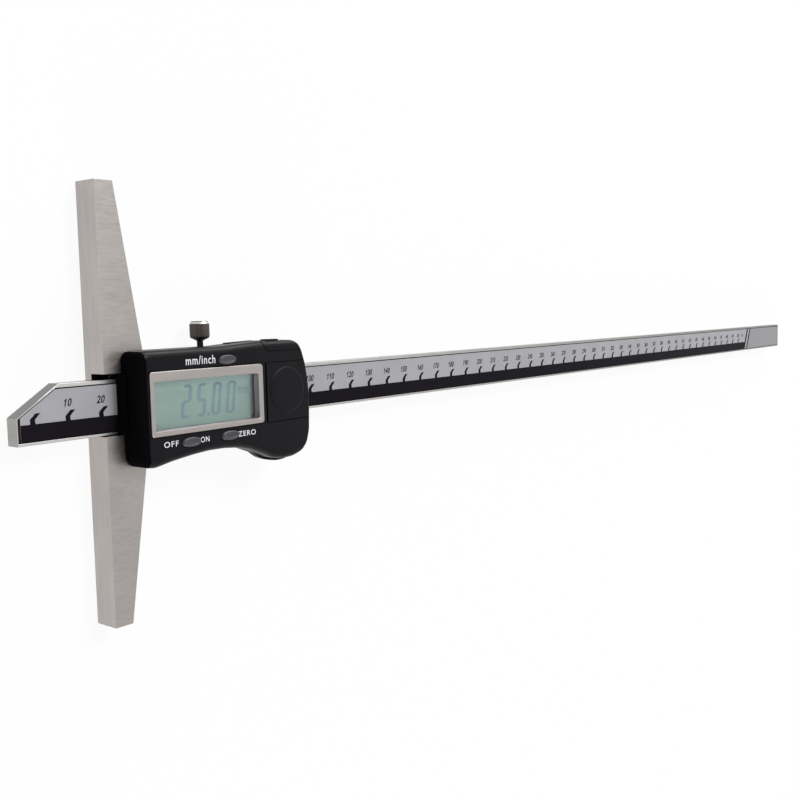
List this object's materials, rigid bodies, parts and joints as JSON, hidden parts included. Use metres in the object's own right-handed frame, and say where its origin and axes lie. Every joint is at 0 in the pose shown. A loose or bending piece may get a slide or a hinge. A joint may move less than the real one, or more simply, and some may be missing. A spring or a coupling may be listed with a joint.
{
  "type": "digital depth gauge",
  "caption": "Digital depth gauge: a graduated steel beam slides through a cross bar and a plastic display housing with buttons, sliding covers and a lock screw.",
  "frame": {"origin": "under the middle of the gauge, on the plane that it lies on", "axes": "+X along the beam away from its measuring tip, +Y along the cross bar towards the lock screw, +Z out of the display"},
  "size_m": [0.584, 0.121, 0.017],
  "materials": {
    "ground_steel": "ground along the bar, satin",
    "beam_steel": "fine ground, satin bright",
    "frame_steel": "milled",
    "black_plastic": "satin black",
    "scale_film": "printed grey film",
    "board_green": "glass fibre board",
    "brass": "rolled strip",
    "screw_steel": "bright",
    "dark_steel": "dark brown nickel",
    "silver_plate": "brushed",
    "clear_lens": "clear",
    "lcd_glass": "grey-green liquid crystal panel",
    "elastomer": "matte",
    "chip_epoxy": "moulded epoxy",
    "nickel": "nickel plated",
    "button_grey": "smooth"
  },
  "bodies": {
    "slider": {"base_bar": "ground_steel", "base_screw_1": "screw_steel", "base_screw_2": "screw_steel", "base_screw_3": "screw_steel", "base_screw_4": "screw_steel", "slider_frame": "frame_steel", "gib_strip": "brass", "gib_screw_1": "dark_steel", "gib_screw_2": "dark_steel", "housing_chassis": "black_plastic", "housing_shell": "black_plastic", "housing_screw_1": "screw_steel", "housing_screw_2": "screw_steel", "housing_screw_3": "screw_steel", "housing_screw_4": "screw_steel", "lcd_bezel": "silver_plate", "lcd_lens": "clear_lens", "lcd_panel": "lcd_glass", "lcd_connector_lower": "elastomer", "lcd_connector_upper": "elastomer", "circuit_board": "board_green", "controller_chip": "chip_epoxy", "data_port": "chip_epoxy", "board_screw_1": "screw_steel", "board_screw_2": "screw_steel", "board_screw_3": "screw_steel", "board_screw_4": "screw_steel", "switch_dome_unit": "nickel", "switch_dome_power": "nickel", "switch_dome_zero": "nickel", "battery": "nickel", "battery_contact_bottom": "nickel", "battery_contact_side": "nickel"},
    "beam": {"beam": "beam_steel", "grid_strip": "board_green", "scale_label": "scale_film", "end_stop": "frame_steel", "end_stop_screw_1": "screw_steel", "end_stop_screw_2": "screw_steel"},
    "lock_screw": {"lock_screw": "dark_steel"},
    "button_unit": {"button_unit": "button_grey"},
    "button_power": {"button_power": "button_grey"},
    "button_zero": {"button_zero": "button_grey"},
    "battery_cover": {"battery_cover": "black_plastic"},
    "port_cover": {"port_cover": "black_plastic"}
  },
  "joints": [
    {"name": "beam_slide", "type": "slide", "parent": "slider", "child": "beam", "axis": [-1, 0, 0], "range_m": [-0.025, 0.475]},
    {"name": "lock_screw_turn", "type": "hinge", "parent": "slider", "child": "lock_screw", "pos_m": [-0.2313, 0.0135, 0.00535], "axis": [0, 1, 0], "range_deg": [-240, 360]},
    {"name": "button_unit_press", "type": "slide", "parent": "slider", "child": "button_unit", "axis": [0, 0, -1], "range_m": [0, 0.0005], "stiffness_N_per_m": 1500, "springref_m": -0.0003},
    {"name": "button_power_press", "type": "slide", "parent": "slider", "child": "button_power", "axis": [0, 0, -1], "range_m": [0, 0.0005], "stiffness_N_per_m": 1500, "springref_m": -0.0003},
    {"name": "button_zero_press", "type": "slide", "parent": "slider", "child": "button_zero", "axis": [0, 0, -1], "range_m": [0, 0.0005], "stiffness_N_per_m": 1500, "springref_m": -0.0003},
    {"name": "battery_cover_slide", "type": "slide", "parent": "slider", "child": "battery_cover", "axis": [1, 0, 0], "range_m": [0, 0.02]},
    {"name": "port_cover_slide", "type": "slide", "parent": "slider", "child": "port_cover", "axis": [1, 0, 0], "range_m": [0, 0.016]}
  ]
}
